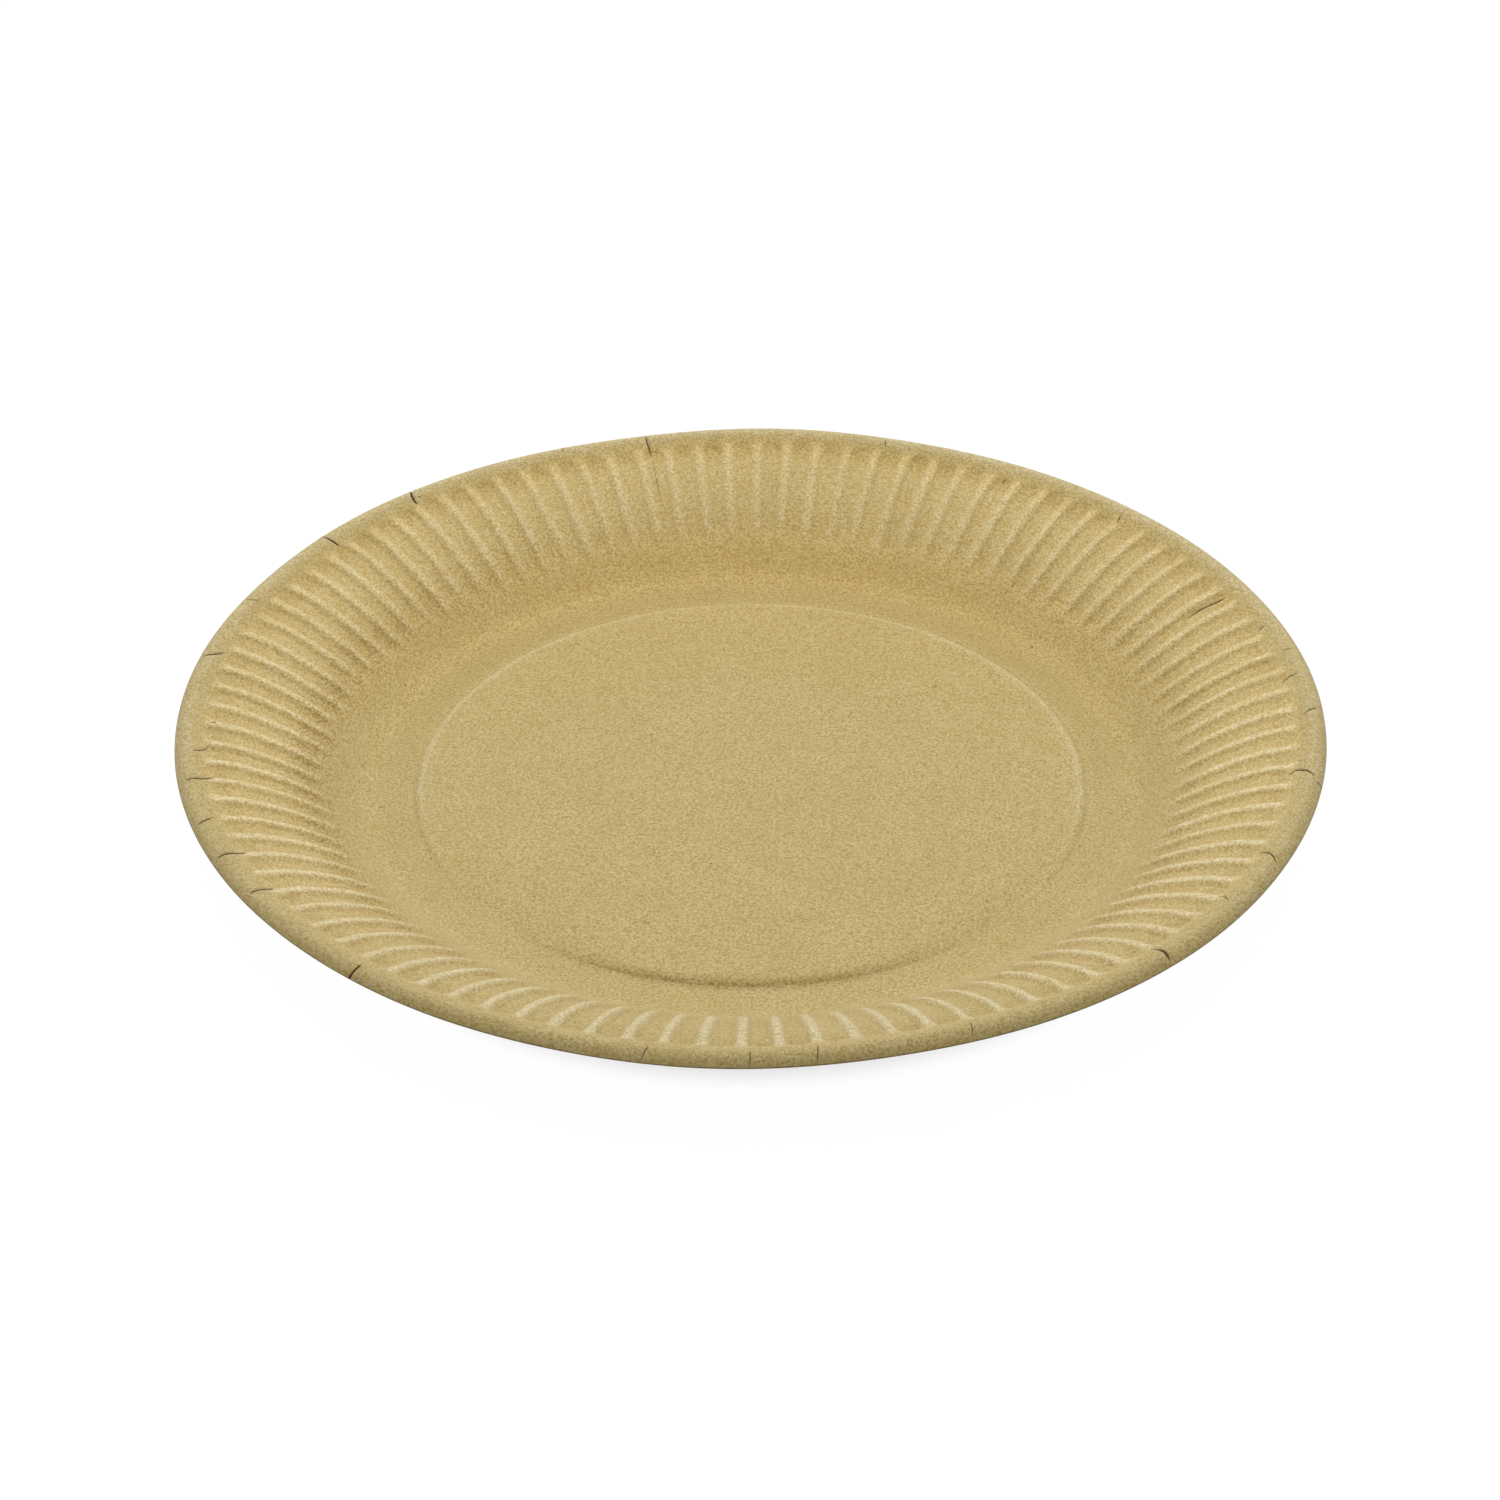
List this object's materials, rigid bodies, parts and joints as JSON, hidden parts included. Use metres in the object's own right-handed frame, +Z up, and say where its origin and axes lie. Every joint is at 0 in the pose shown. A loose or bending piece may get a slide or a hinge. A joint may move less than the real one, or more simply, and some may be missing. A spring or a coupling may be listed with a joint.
{
  "type": "paper plate",
  "caption": "Round one-piece paper plate with a raised centre, a fluted sloping wall and a smooth, turned-down rim.",
  "frame": {"origin": "middle of the plate, on the table plane under its flat outer floor", "axes": "+Z up along the axis of the round plate, towards the open dish"},
  "size_m": [0.23, 0.23, 0.0204],
  "materials": {
    "kraft_board": "matt unbleached kraft board with visible fibres"
  },
  "bodies": {
    "root": {"plate": "kraft_board"}
  },
  "joints": []
}
